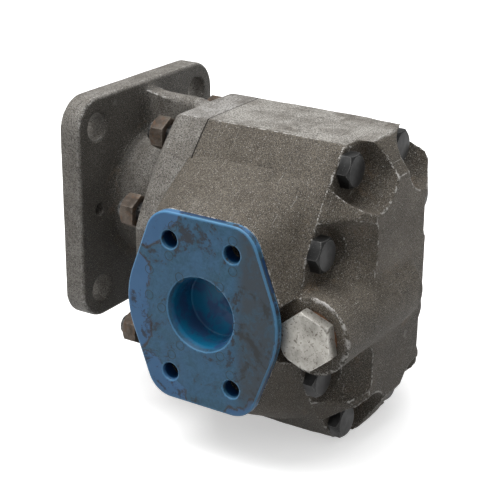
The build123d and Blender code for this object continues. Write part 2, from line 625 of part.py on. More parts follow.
def main():
    os.makedirs("parts", exist_ok=True)
    front_bush_x = JOINT_X - BUSH_L - 0.2
    rear_bush_x = CHAMBER_END_X + 0.2
    front_plate_x = JOINT_X + END_GAP
    rear_plate_end = CHAMBER_END_X - END_GAP
    rear_plate_x = rear_plate_end - THRUST_PLATE_T
    seal_d = SEAL_GROOVE_D - 0.15
    seal_w = SEAL_GROOVE_W - 0.3
    nodes = {
        "mounting_cover": make_mounting_cover(),
        "pump_body": make_pump_body(),
        "drive_gear_shaft": make_drive_gear_shaft(),
        "driven_gear_shaft": make_driven_gear_shaft(),
        "front_thrust_plate": make_thrust_plate(front_plate_x, front_plate_x - 1, front_plate_x + 1.8),
        "rear_thrust_plate": make_thrust_plate(rear_plate_x, rear_plate_end - 1.8, rear_plate_end + 1),
        "front_pressure_seal": pressure_seal_shape(2.4, front_plate_x, front_plate_x + 1.7),
        "rear_pressure_seal": pressure_seal_shape(2.4, rear_plate_end - 1.7, rear_plate_end),
        "front_drive_bush": make_bush(front_bush_x, 0),
        "rear_drive_bush": make_bush(rear_bush_x, 0),
        "front_driven_bush": make_bush(front_bush_x, -GEAR_CENTRES),
        "rear_driven_bush": make_bush(rear_bush_x, -GEAR_CENTRES),
        "shaft_seal": make_shaft_seal(),
        "seal_retaining_ring": make_seal_retaining_ring(),
        "joint_seal": stadium_ring(SEAL_GROOVE_R, seal_w, JOINT_X - seal_d, JOINT_X),
        "dowel_pins": make_dowel_pins(),
        "through_bolts": make_through_bolts(),
        "bolt_nuts": make_bolt_nuts(),
        "shaft_key": make_shaft_key(),
        "relief_valve_plug": make_relief_valve_plug(),
        "plug_seal_ring": make_plug_seal_ring(),
        "relief_valve_seat": make_relief_valve_seat(),
        "relief_poppet": make_relief_poppet(),
        "relief_spring": make_relief_spring(),
        "inlet_port_cap": make_inlet_port_cap(),
    }
    for name, shape in nodes.items():
        export_step(shape, f"parts/{name}.step")
        print(name, len(shape.solids()), round(shape.volume, 1))


main()
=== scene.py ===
import json
import math

import bmesh
import bpy
import numpy as np
from mathutils import Matrix, Vector, noise
from mathutils.bvhtree import BVHTree


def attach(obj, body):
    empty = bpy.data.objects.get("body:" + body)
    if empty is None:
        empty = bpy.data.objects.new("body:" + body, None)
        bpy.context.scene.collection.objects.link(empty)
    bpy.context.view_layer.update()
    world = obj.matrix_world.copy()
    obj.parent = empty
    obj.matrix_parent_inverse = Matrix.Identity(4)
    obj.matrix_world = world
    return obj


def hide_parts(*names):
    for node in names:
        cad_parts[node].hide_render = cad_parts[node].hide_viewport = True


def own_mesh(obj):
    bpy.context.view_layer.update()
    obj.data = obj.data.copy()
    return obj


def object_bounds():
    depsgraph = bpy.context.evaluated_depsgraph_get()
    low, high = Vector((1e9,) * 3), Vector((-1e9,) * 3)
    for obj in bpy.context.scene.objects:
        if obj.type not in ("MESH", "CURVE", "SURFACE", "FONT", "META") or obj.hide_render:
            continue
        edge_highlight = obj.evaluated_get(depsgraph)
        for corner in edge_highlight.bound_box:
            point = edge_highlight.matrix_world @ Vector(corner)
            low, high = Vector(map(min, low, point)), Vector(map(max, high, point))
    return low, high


# Looks of an external gear pump: worn cast iron, black bolts, a pale plug and a grimy blue
# plastic cap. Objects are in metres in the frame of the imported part, and the work on their
# meshes is in millimetres.

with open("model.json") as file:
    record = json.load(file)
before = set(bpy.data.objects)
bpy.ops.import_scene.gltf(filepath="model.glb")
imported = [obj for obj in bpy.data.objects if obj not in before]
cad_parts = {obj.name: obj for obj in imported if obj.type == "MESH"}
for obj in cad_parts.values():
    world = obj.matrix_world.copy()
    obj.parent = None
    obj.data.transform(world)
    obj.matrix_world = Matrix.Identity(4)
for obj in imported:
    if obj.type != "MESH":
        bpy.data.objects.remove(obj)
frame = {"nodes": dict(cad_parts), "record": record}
cad_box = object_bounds()
scene = bpy.context.scene
MM = 0.001

# ---- landmarks of the part, in millimetres ----
MID_Z = -26.0
JOINT_X = 66.7
HEAD_SEAT_X = 145.5
NUT_SEAT_X = 43.5
DRIVE_AXIS = (0.0, 0.0)
IDLER_AXIS = (0.0, -52.0)
BORES_END_X = 151.0
TOP_Z = 53.2
STRIP_HALF_W = 24.2
SIGNS = [(sy, sz) for sy in (-1, 1) for sz in (-1, 1)]
CORNER_BOLTS = [(sy * 24.25, MID_Z + sz * 67.0) for sy, sz in SIGNS]
SIDE_BOLTS = [(sy * 50.65, MID_Z + sz * 32.5) for sy, sz in SIGNS]
BOLTS = CORNER_BOLTS + SIDE_BOLTS
BOLT_HOLE_ZONE_R = 6.3
PORT = (99.3, MID_Z)
INLET_FACE_Y = -75.5
OUTLET_FACE_Y = 72.0
CAP_FACE_Y = -80.0
CAP_LOBES = (17.85, 34.95)  # centres of the cap's four corner lobes, from its middle
CAP_LOBE_R = 14.2
CAP_WAIST_R = 43.2
VALVE = (154.0, -28.5)
VALVE_FACE_Y = -67.0
PLATE_T = 12.0
PLATE_HALF = 60.5
PLATE_HOLES = [(sy * 44.9, sz * 44.9) for sy, sz in SIGNS]
JACK_HOLE = (-44.9, 0.0)
CASTING_VOXEL = 0.8
CAP_VOXEL = 0.5


def smooth_step(low, high, values):
    t = np.clip((values - low) / (high - low), 0, 1)
    return t * t * (3 - 2 * t)


# ---- mesh work on the castings ----
class Skin:
    """A finely remeshed copy of a CAD node whose surface is then worked like a casting."""

    def __init__(self, node, name, voxel):
        self.node = frame["nodes"][node]
        self.obj = bpy.data.objects.new(name, self.node.data.copy())
        scene.collection.objects.link(self.obj)
        weld = self.obj.modifiers.new("weld", "WELD")
        weld.merge_threshold = 1e-5
        remesh = self.obj.modifiers.new("remesh", "REMESH")
        remesh.mode = "VOXEL"
        remesh.voxel_size = voxel * MM
        bpy.context.view_layer.update()
        graph = bpy.context.evaluated_depsgraph_get()
        mesh = bpy.data.meshes.new_from_object(self.obj.evaluated_get(graph))
        self.obj.modifiers.clear()
        self.obj.data = mesh
        count = len(mesh.vertices)
        flat = np.empty(count * 3)
        mesh.vertices.foreach_get("co", flat)
        self.co = flat.reshape(-1, 3) / MM
        pairs = np.empty(len(mesh.edges) * 2, np.int64)
        mesh.edges.foreach_get("vertices", pairs)
        self.a, self.b = pairs.reshape(-1, 2).T
        ends = np.bincount(self.a, minlength=count) + np.bincount(self.b, minlength=count)
        self.degree = np.maximum(ends, 1)
        self.rest = self.co.copy()

    def average(self, values):
        """Each point's neighbours averaged, for one column or several."""
        columns = values.reshape(len(values), -1)
        out = np.empty_like(columns)
        for k in range(columns.shape[1]):
            c = columns[:, k]
            out[:, k] = np.bincount(self.a, c[self.b], len(c)) + np.bincount(self.b, c[self.a], len(c))
        out /= self.degree[:, None]
        return out.reshape(values.shape)

    def normals(self):
        """Writes the points to the mesh and gives its point normals."""
        mesh = self.obj.data
        mesh.vertices.foreach_set("co", (self.co * MM).ravel())
        mesh.update()
        flat = np.empty(len(mesh.vertices) * 3)
        mesh.vertex_normals.foreach_get("vector", flat)
        return flat.reshape(-1, 3)

    def relax(self, rounds, weight=0.5):
        """Draws each point towards its neighbours."""
        for _ in range(rounds):
            self.co += weight * (self.average(self.co) - self.co)

    def fill_and_wear(self, rounds, fill, wear):
        """Fillets inner corners and wears outer ones, each with a weight per point."""
        for step in range(rounds):
            if step % 4 == 0:
                normal = self.normals()
            rise = np.sum((self.average(self.co) - self.co) * normal, axis=1)
            self.co += normal * (rise * np.where(rise > 0, fill, wear))[:, None]

    def snap(self, keep, crest):
        """Puts the surface back on the CAD shape: where keep is 1, and along outer edges by crest."""
        normal = self.normals()
        source = self.node.data
        source.calc_loop_triangles()
        tris = np.empty(len(source.loop_triangles) * 3, np.int64)
        source.loop_triangles.foreach_get("vertices", tris)
        flat = np.empty(len(source.vertices) * 3)
        source.vertices.foreach_get("co", flat)
        tree = BVHTree.FromPolygons(flat.reshape(-1, 3).tolist(), tris.reshape(-1, 3).tolist())
        for i in np.nonzero(np.maximum(keep, crest) > 0.01)[0]:
            place = tree.find_nearest(Vector(self.rest[i] * MM))[0]
            step = np.array(place) / MM - self.co[i]
            outward = crest[i] if step @ normal[i] > 0.04 else 0.0
            self.co[i] += max(keep[i], outward) * step

    def ripple(self, strength):
        """Lifts and lowers the surface a little, as a sand mould leaves it."""
        normal = self.normals()
        for i in np.nonzero(strength > 0.01)[0]:
            p = Vector(self.co[i])
            swell = 0.22 * noise.noise(p / 21) + 0.09 * noise.noise(p / 6.5) + 0.05 * noise.noise(p / 2.6)
            self.co[i] += normal[i] * swell * strength[i]

    def curvature(self, rounds, scale):
        """How far the surface stands out from its smoothed self, in units of scale."""
        q = self.co.copy()
        for _ in range(rounds):
            q += 0.8 * (self.average(q) - q)
        return np.sum((self.co - q) * self.normals(), axis=1) / scale

    def paint(self, name, values):
        """Keeps one number per point for the materials."""
        layer = self.obj.data.attributes.new(name, "FLOAT", "POINT")
        layer.data.foreach_set("value", values.astype(np.float32))

    def finish(self, share):
        """Writes the points back to the mesh and thins it to a share of its faces."""
        self.normals()
        thin = self.obj.modifiers.new("thin", "DECIMATE")
        thin.ratio = share
        bpy.context.view_layer.update()
        graph = bpy.context.evaluated_depsgraph_get()
        mesh = bpy.data.meshes.new_from_object(self.obj.evaluated_get(graph))
        self.obj.modifiers.clear()
        self.obj.data = mesh
        self.obj.data.shade_smooth()
        return self.obj


def near_axis(co, axis, centre, radius):
    """1 within radius of a line along X (axis 0) or Y (axis 1), fading out over 1 mm."""
    first, second = (1, 2) if axis == 0 else (0, 2)
    distance = np.hypot(co[:, first] - centre[0], co[:, second] - centre[1])
    return 1 - smooth_step(radius, radius + 1.0, distance)


def bolt_zones(co, seat_x, towards, seat_r):
    """1 in the bolt holes on one side of their seat plane, and on the seats themselves."""
    x = co[:, 0]
    zones = np.zeros(len(x))
    for centre in BOLTS:
        hole = near_axis(co, 0, centre, BOLT_HOLE_ZONE_R) * (towards * (x - seat_x) > -1)
        seat = near_axis(co, 0, centre, seat_r) * (np.abs(x - seat_x) < 1.2)
        zones = np.maximum(zones, np.maximum(hole, seat))
    return zones


def pump_body_skin():
    skin = Skin("pump_body", "body_casting_skin", CASTING_VOXEL)
    x, y, z = skin.rest.T
    height = np.abs(z - MID_Z)

    # machined faces and bores, which stay on the CAD shape
    inner = np.maximum(near_axis(skin.rest, 0, DRIVE_AXIS, 32.5), near_axis(skin.rest, 0, IDLER_AXIS, 32.5))
    inner *= x < BORES_END_X
    keep = np.maximum.reduce([
        inner,
        1 - smooth_step(JOINT_X + 0.4, JOINT_X + 1.2, x),
        1 - smooth_step(INLET_FACE_Y + 0.3, INLET_FACE_Y + 1.3, y),
        smooth_step(OUTLET_FACE_Y - 1.2, OUTLET_FACE_Y - 0.3, y),
        near_axis(skin.rest, 1, PORT, 20.5) * (np.abs(y) > 15),
        near_axis(skin.rest, 1, VALVE, 20.2) * (1 - smooth_step(VALVE_FACE_Y + 1.4, VALVE_FACE_Y + 2.4, y)),
        near_axis(skin.rest, 1, VALVE, 11.5) * (y < -28),
        bolt_zones(skin.rest, HEAD_SEAT_X, -1, 10.6)])
    free = 1 - keep

    # lip: thin rims of the corner pockets; flank: sides of the port pads; soft: the side hollows
    lip = np.zeros(len(x))
    for centre in CORNER_BOLTS:
        away = (z - MID_Z) * (centre[1] - MID_Z) / abs(centre[1] - MID_Z)
        outer = smooth_step(66, 74, away) * smooth_step(-30, -24, -np.abs(y - centre[0]))
        lip = np.maximum(lip, outer * near_axis(skin.rest, 0, centre, 19.0) * smooth_step(130, 138, x))
    side = near_axis(skin.rest, 1, PORT, 76.0) * (1 - smooth_step(128, 134, x))
    inlet_side = smooth_step(INLET_FACE_Y + 1.6, INLET_FACE_Y + 3.5, y) * (1 - smooth_step(-46, -34, y))
    outlet_side = smooth_step(34, 46, y) * (1 - smooth_step(OUTLET_FACE_Y - 3.0, OUTLET_FACE_Y - 1.4, y))
    flank = np.maximum(side * inlet_side, side * outlet_side)
    soft = smooth_step(147, 152, x) * (1 - smooth_step(46, 54, height)) * smooth_step(34, 42, np.abs(y))
    for _ in range(10):
        lip = skin.average(lip)
        soft = skin.average(soft)

    skin.relax(1)
    skin.fill_and_wear(40, 0.95 * free, free * np.maximum(0.02 + 0.5 * lip, 0.75 * soft))
    skin.relax(60, 0.6 * (flank * free)[:, None])
    skin.relax(1)
    skin.snap(keep, 0.85 * free * (1 - np.minimum(lip + soft + flank, 1)))
    skin.ripple(free)

    # Outer edges marked lighter: partly wear, partly a painted edge highlight.
    wear_and_highlight = smooth_step(JOINT_X + 1.5, JOINT_X + 3.0, x) * (1 - inner)
    skin.paint("edge", np.clip(skin.curvature(1, 0.07), 0, 1) * wear_and_highlight)
    skin.paint("hollow", np.clip(-skin.curvature(60, 1.1), 0, 1))
    # Painted light and shade: the top strip lighter as if lit from above, the rear face darker as if in
    # shade, the bolt pockets darker with painted shade and dirt, and darker towards the bottom.
    strip = 1 - smooth_step(STRIP_HALF_W - 2.2, STRIP_HALF_W + 1.3, np.abs(y))
    painted_light_and_shade = 0.85 * smooth_step(TOP_Z - 1.7, TOP_Z - 0.4, z) * strip
    painted_light_and_shade -= 1.3 * (1 - smooth_step(-95, -5, z))
    painted_light_and_shade -= 0.22 * smooth_step(135, 150, x) * (1 - smooth_step(TOP_Z - 5.2, TOP_Z - 1.2, z))
    in_pockets = smooth_step(HEAD_SEAT_X - 1, HEAD_SEAT_X + 1, x) * (1 - smooth_step(158, 168, x))
    for y0, z0 in BOLTS:
        painted_light_and_shade -= 0.7 * (1 - smooth_step(11, 20, np.hypot(y - y0, z - z0))) * in_pockets
    skin.paint("painted_light_and_shade", painted_light_and_shade)
    obj = skin.finish(0.4)
    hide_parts("pump_body")
    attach(obj, "pump_casing")
    return obj


def mounting_cover_skin():
    skin = Skin("mounting_cover", "cover_casting_skin", CASTING_VOXEL)
    x, y, z = skin.rest.T
    keep = np.maximum.reduce([
        1 - smooth_step(-0.6, 0.4, x),
        smooth_step(JOINT_X - 1.2, JOINT_X - 0.4, x),
        near_axis(skin.rest, 0, DRIVE_AXIS, 23.5),
        near_axis(skin.rest, 0, IDLER_AXIS, 19.5) * (x > NUT_SEAT_X - 0.5),
        near_axis(skin.rest, 0, JACK_HOLE, 4.4),
        bolt_zones(skin.rest, NUT_SEAT_X, 1, 9.6)]
        + [near_axis(skin.rest, 0, centre, 8.8) for centre in PLATE_HOLES])
    free = 1 - keep
    flange = smooth_step(40, 46, x) * (1 - smooth_step(56, 62, x))
    skin.relax(1)
    skin.fill_and_wear(56, 0.98 * free, free * (0.03 + 0.2 * flange))
    skin.relax(1)
    plate = 1 - smooth_step(PLATE_T - 2, PLATE_T + 4, x)
    skin.snap(keep, 0.85 * free)
    skin.ripple(free * (1 - 0.5 * plate))

    # Outer edges marked lighter: partly wear, partly a painted edge highlight.
    wear_and_highlight = (1 - smooth_step(JOINT_X - 3.0, JOINT_X - 1.5, x)) * smooth_step(0.5, 1.5, x)
    for centre in PLATE_HOLES + [JACK_HOLE]:
        wear_and_highlight *= 1 - 0.75 * near_axis(skin.rest, 0, centre, 10.0)
    skin.paint("edge", np.clip(skin.curvature(1, 0.07), 0, 1) * wear_and_highlight)
    skin.paint("hollow", np.clip(-skin.curvature(60, 1.1), 0, 1))
    # Painted light and shade: the top strip lighter as if lit from above, and darker towards the bottom.
    strip = 1 - smooth_step(STRIP_HALF_W - 2.2, STRIP_HALF_W + 1.3, np.abs(y))
    painted_light_and_shade = 0.65 * smooth_step(TOP_Z - 2.2, TOP_Z - 0.7, z) * (x > 44) * strip
    painted_light_and_shade -= 0.75 * (1 - smooth_step(-100, -20, z)) * (x > PLATE_T + 2)
    skin.paint("painted_light_and_shade", painted_light_and_shade)
    # The plate's face towards the pump is marked dark: partly darker metal, partly painted shade where the
    # rest of the pump covers it.
    facing = smooth_step(PLATE_T - 2.0, PLATE_T - 0.1, x)
    facing *= 1 - smooth_step(PLATE_T + 2.5, PLATE_T + 7.0, x)
    rim = np.maximum(np.abs(y), np.abs(z))
    skin.paint("dark", facing * (1 - smooth_step(PLATE_HALF - 2.3, PLATE_HALF - 0.5, rim)))
    obj = skin.finish(0.4)
    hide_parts("mounting_cover")
    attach(obj, "pump_casing")
    return obj


def cap_outline():
    """Points along the cap flange's outline, about its centre."""
    discs = [(sx * CAP_LOBES[0], sz * CAP_LOBES[1], CAP_LOBE_R) for sx, sz in SIGNS]
    discs.append((0.0, 0.0, CAP_WAIST_R))
    points = []
    for k in range(720):
        angle = math.radians(k / 2)
        c, s = math.cos(angle), math.sin(angle)
        points.append(max((dx * c + dz * s + r, dx + r * c, dz + r * s) for dx, dz, r in discs)[1:])
    return np.array(points)


def port_cap_skin():
    skin = Skin("inlet_port_cap", "port_cap_skin", CAP_VOXEL)
    x, y, z = skin.rest.T
    skin.relax(1)
    skin.snap(np.ones(len(x)), np.zeros(len(x)))
    flat = np.column_stack([x - PORT[0], z - PORT[1]])
    outline = cap_outline()
    gap = np.full(len(x), 1e9)
    for start in range(0, len(outline), 60):
        part = outline[start:start + 60]
        reach = np.hypot(flat[:, :1] - part[:, 0], flat[:, 1:] - part[:, 1])
        gap = np.minimum(gap, np.min(reach, axis=1))
    skin.paint("rim_mm", gap)
    skin.paint("edge", np.clip(skin.curvature(4, 0.14), 0, 1))
    skin.paint("hollow", np.clip(-skin.curvature(40, 0.8), 0, 1))
    deep = smooth_step(CAP_FACE_Y + 0.6, CAP_FACE_Y + 4.0, y)
    inside = near_axis(skin.rest, 1, PORT, 21.0)
    skin.paint("deep", deep * inside)
    skin.paint("bore", deep * (1 - inside) * (gap > 4.5))
    obj = skin.finish(0.35)
    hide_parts("inlet_port_cap")
    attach(obj, "port_cap")
    return obj


MARKS = [
    (81.3, 0.7), (87.3, -9.2), (110.5, -8.9), (117.8, 0.7), (117.7, 15.8), (83.6, 16.1), (69.5, -9.0),
    (76.6, -27.7), (87.5, -45.3), (120.2, -27.2), (110.9, -44.9), (116.7, -53.5), (82.3, -51.5),
    (69.2, -22.5)]
MARK_R = 2.35
MARK_WIRE_R = 0.17


def ejector_marks():
    """Thin raised rings that the mould's ejector pins leave on the cap's face."""
    work = bmesh.new()
    inward = Vector((0, 1, 0))
    for x, z in MARKS:
        loops = []
        for k in range(30):
            angle = 2 * math.pi * k / 30
            out = Vector((math.cos(angle), 0, math.sin(angle)))
            middle = Vector((x, CAP_FACE_Y + 0.02, z)) + out * MARK_R
            loop = []
            for j in range(6):
                turn = 2 * math.pi * j / 6
                point = middle + MARK_WIRE_R * (out * math.cos(turn) + inward * math.sin(turn))
                loop.append(work.verts.new(point * MM))
            loops.append(loop)
        for k, loop in enumerate(loops):
            following = loops[(k + 1) % len(loops)]
            for j in range(6):
                work.faces.new((loop[j], loop[(j + 1) % 6], following[(j + 1) % 6], following[j]))
    bmesh.ops.recalc_face_normals(work, faces=work.faces)
    mesh = bpy.data.meshes.new("cap_ejector_marks")
    work.to_mesh(mesh)
    work.free()
    mesh.shade_smooth()
    obj = bpy.data.objects.new("cap_ejector_marks", mesh)
    scene.collection.objects.link(obj)
    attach(obj, "port_cap")
    return obj


def relief_spring_coil():
    """The spring, a copy of its CAD coil with smooth shading, fixed to the casing."""
    coil = bpy.data.objects.new("relief_spring_coil", frame["nodes"]["relief_spring"].data.copy())
    scene.collection.objects.link(coil)
    coil.data.shade_smooth()
    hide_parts("relief_spring")
    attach(coil, "pump_casing")
    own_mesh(coil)
    return coil


# ---- node materials ----
class Look:
    """A small helper around one node material."""

    def __init__(self, name, roughness, metallic=0.0):
        self.material = bpy.data.materials.new(name)
        self.material.use_nodes = True
        self.tree = self.material.node_tree
        self.shader = self.tree.nodes["Principled BSDF"]
        self.shader.inputs["Roughness"].default_value = roughness
        self.shader.inputs["Metallic"].default_value = metallic
        self.where = self.tree.nodes.new("ShaderNodeTexCoord").outputs["Object"]

    def put(self, socket, value):
        if isinstance(value, bpy.types.NodeSocket):
            self.tree.links.new(value, socket)
        elif isinstance(value, tuple):
            socket.default_value = (*value, 1.0)
        else:
            socket.default_value = value

    def noise(self, scale, detail=2.0, roughness=0.55, distortion=0.0, stretch=None, seed=0.0):
        node = self.tree.nodes.new("ShaderNodeTexNoise")
        node.noise_dimensions = "4D"
        node.inputs["W"].default_value = seed
        node.inputs["Scale"].default_value = scale
        node.inputs["Detail"].default_value = detail
        node.inputs["Roughness"].default_value = roughness
        node.inputs["Distortion"].default_value = distortion
        source = self.where
        if stretch:
            turn = self.tree.nodes.new("ShaderNodeMapping")
            self.tree.links.new(self.where, turn.inputs["Vector"])
            turn.inputs["Rotation"].default_value = stretch[1]
            turn.inputs["Scale"].default_value = stretch[0]
            source = turn.outputs["Vector"]
        self.tree.links.new(source, node.inputs["Vector"])
        return node.outputs["Fac"]

    def cells(self, scale, seed=0.0):
        node = self.tree.nodes.new("ShaderNodeTexVoronoi")
        node.voronoi_dimensions = "4D"
        node.inputs["W"].default_value = seed
        node.inputs["Scale"].default_value = scale
        self.tree.links.new(self.where, node.inputs["Vector"])
        return node.outputs["Distance"]

    def attribute(self, name):
        node = self.tree.nodes.new("ShaderNodeAttribute")
        node.attribute_name = name
        return node.outputs["Fac"]

    def axis(self, index):
        node = self.tree.nodes.new("ShaderNodeSeparateXYZ")
        self.tree.links.new(self.where, node.inputs["Vector"])
        return node.outputs[index]

    def sum(self, kind, first, second=0.0, third=None):
        node = self.tree.nodes.new("ShaderNodeMath")
        node.operation = kind
        self.put(node.inputs[0], first)
        self.put(node.inputs[1], second)
        if third is not None:
            self.put(node.inputs[2], third)
        return node.outputs[0]

    def span(self, value, low, high, to_low=0.0, to_high=1.0):
        node = self.tree.nodes.new("ShaderNodeMapRange")
        node.interpolation_type = "SMOOTHSTEP"
        self.put(node.inputs["Value"], value)
        limits = {"From Min": low, "From Max": high, "To Min": to_low, "To Max": to_high}
        for name, number in limits.items():
            node.inputs[name].default_value = number
        return node.outputs["Result"]

    def mix(self, share, first, second, kind="MIX"):
        node = self.tree.nodes.new("ShaderNodeMix")
        node.data_type = "RGBA"
        node.blend_type = kind
        self.put(node.inputs["Factor"], share)
        self.put(node.inputs[6], first)
        self.put(node.inputs[7], second)
        return node.outputs[2]

    def edges(self, radius):
        """1 along sharp edges and corners, outer and inner, for meshes with few faces."""
        bevel = self.tree.nodes.new("ShaderNodeBevel")
        bevel.samples = 4
        bevel.inputs["Radius"].default_value = radius * MM
        plain = self.tree.nodes.new("ShaderNodeNewGeometry")
        dot = self.tree.nodes.new("ShaderNodeVectorMath")
        dot.operation = "DOT_PRODUCT"
        self.tree.links.new(bevel.outputs["Normal"], dot.inputs[0])
        self.tree.links.new(plain.outputs["True Normal"], dot.inputs[1])
        return self.span(dot.outputs["Value"], 0.995, 0.93)

    def bump(self, height, distance, strength=1.0, under=None):
        node = self.tree.nodes.new("ShaderNodeBump")
        node.inputs["Distance"].default_value = distance * MM
        node.inputs["Strength"].default_value = strength
        self.tree.links.new(height, node.inputs["Height"])
        if under is not None:
            self.tree.links.new(under, node.inputs["Normal"])
        return node.outputs["Normal"]

    def finish(self, color, roughness=None, normal=None):
        self.put(self.shader.inputs["Base Color"], color)
        if roughness is not None:
            self.put(self.shader.inputs["Roughness"], roughness)
        if normal is not None:
            self.tree.links.new(normal, self.shader.inputs["Normal"])
        return self.material


def cast_iron(name, light, middle, dark, rust, wear_and_highlight, plate=None):
    look = Look(name, 0.6, 0.15)
    edge, hollow, painted_light_and_shade = look.attribute("edge"), look.attribute("hollow"), look.attribute("painted_light_and_shade")
    broad = look.noise(38, 4, 0.6, 0.4)
    mid = look.noise(210, 4, 0.65, 0.2, seed=3.1)
    grain = look.noise(1300, 3, 0.78, seed=5.7)
    salt = look.noise(2300, 2, 0.7, seed=9.3)
    # The casting's attribute brings painted light and shade into the level: lighter on the top strips,
    # darker at the body's rear, in its bolt pockets and towards the bottom.
    level = look.sum("MULTIPLY_ADD", painted_light_and_shade, 0.5, broad)
    level = look.sum("MULTIPLY_ADD", mid, 0.35, level)
    color = look.mix(look.span(level, 0.28, 0.66), dark, middle)
    color = look.mix(look.span(level, 0.74, 1.12), color, light)
    stain = look.sum("MULTIPLY", look.span(look.noise(75, 5, 0.65, 0.6, seed=1.7), 0.42, 0.66), 0.6)
    pocket = look.sum("MULTIPLY", look.span(hollow, 0.10, 0.65), 0.85)
    color = look.mix(look.sum("MAXIMUM", stain, pocket), color, rust)
    # The plate's face towards the pump: darker metal and painted shade.
    if plate:
        dark_face_and_shade = look.sum("MULTIPLY", look.attribute("dark"), look.span(broad, 0.2, 0.6, 0.75, 1.0))
        color = look.mix(dark_face_and_shade, color, plate)
    patches = look.span(look.noise(60, 4, 0.7, 0.5, seed=21.0), 0.52, 0.66)
    tan = look.sum("MULTIPLY", patches, look.span(hollow, 0.05, 0.4))
    color = look.mix(look.sum("MULTIPLY", tan, 0.55), color, (0.155, 0.105, 0.062))
    soot = look.mix(0.5, dark, (0.012, 0.009, 0.007))
    color = look.mix(look.span(grain, 0.42, 0.55, 0.92, 0.0), color, soot)
    sparkle = look.mix(0.42, color, (0.44, 0.39, 0.32))
    color = look.mix(look.span(salt, 0.50, 0.62, 0.0, 0.8), color, sparkle)
    # Lighter outer edges: partly wear, partly a painted edge highlight; the glints below use the same pale
    # colour.
    edge_breakup = look.span(look.noise(340, 4, 0.8, 0.3, seed=12.4), 0.46, 0.58)
    lighter_edges = look.sum("MULTIPLY", look.span(edge, 0.4, 0.9), edge_breakup)
    color = look.mix(look.sum("MULTIPLY", lighter_edges, 0.9), color, wear_and_highlight)
    glint = look.span(look.noise(1900, 2, 0.6, seed=14.2), 0.61, 0.69, 0.0, 0.8)
    color = look.mix(glint, color, wear_and_highlight)
    scratch = look.noise(1.0, 1, 0.5, seed=2.2, stretch=((2600, 60, 60), (0.4, 0.3, 0.9)))
    color = look.mix(look.span(scratch, 0.70, 0.78, 0.0, 0.5), color, wear_and_highlight)
    black = look.span(look.cells(360, seed=18.5), 0.16, 0.07)
    black = look.sum("MULTIPLY", black, look.span(look.noise(500, 1, seed=19.0), 0.48, 0.56))
    color = look.mix(look.sum("MULTIPLY", black, 0.85), color, (0.010, 0.008, 0.007))
    gap = look.sum("ABSOLUTE", look.sum("SUBTRACT", look.axis(0), JOINT_X * MM))
    color = look.mix(look.span(gap, 0.00052, 0.00022, 0.0, 0.92), color, (0.012, 0.009, 0.006))
    rough = look.span(level, 0.3, 1.1, 0.75, 0.52)
    height = look.sum("MULTIPLY_ADD", mid, 0.8, grain)
    height = look.sum("SUBTRACT", height, look.sum("MULTIPLY", black, 0.6))
    normal = look.bump(height, 0.5, 0.9)
    pits = look.span(look.cells(420, seed=4.4), 0.05, 0.32)
    normal = look.bump(pits, 0.10, 0.35, normal)
    return look.finish(color, rough, normal)


def steel(name, base, dark, wear_and_highlight, roughness, metallic, stain=None, depth=0.05, edge_share=0.7):
    look = Look(name, roughness, metallic)
    broad = look.noise(120, 4, 0.65, 0.3)
    fine = look.noise(900, 3, 0.7, seed=4.0)
    color = look.mix(look.span(broad, 0.35, 0.65), dark, base)
    color = look.mix(look.span(fine, 0.35, 0.65, 0.35, 0.0), color, dark)
    if stain:
        color = look.mix(look.span(look.noise(260, 5, 0.7, 0.8, seed=7.7), 0.5, 0.62), color, stain)
    lighter_edges = look.sum("MULTIPLY", look.edges(0.55), look.span(look.noise(420, 2, seed=8.0), 0.35, 0.55))
    color = look.mix(look.sum("MULTIPLY", lighter_edges, edge_share), color, wear_and_highlight)
    glint = look.span(look.noise(2100, 2, seed=6.6), 0.64, 0.74, 0.0, 0.5)
    color = look.mix(glint, color, wear_and_highlight)
    rough = look.span(broad, 0.3, 0.7, roughness + 0.1, roughness - 0.08)
    return look.finish(color, rough, look.bump(fine, depth, 0.6))


def turned(name, base, dark, roughness):
    """Machined metal that is oiled and out of the weather: fine tool marks and slight stains."""
    look = Look(name, roughness, 0.9)
    rings = look.noise(1.0, 2, 0.6, seed=1.0, stretch=((2400, 120, 120), (0, 0, 0)))
    haze = look.noise(90, 3, 0.6, seed=2.0)
    color = look.mix(look.span(haze, 0.4, 0.75), base, dark)
    color = look.mix(look.span(rings, 0.4, 0.7, 0.0, 0.3), color, dark)
    rough = look.span(haze, 0.3, 0.7, roughness - 0.05, roughness + 0.12)
    return look.finish(color, rough, look.bump(rings, 0.02, 0.4))


def rubber(name, low=(0.012, 0.012, 0.013), high=(0.035, 0.033, 0.03)):
    look = Look(name, 0.6)
    fine = look.noise(1400, 3, 0.6)
    haze = look.noise(80, 3, 0.6, seed=2.0)
    color = look.mix(look.span(haze, 0.4, 0.7), low, high)
    return look.finish(color, look.span(haze, 0.3, 0.7, 0.5, 0.7), look.bump(fine, 0.03, 0.5))


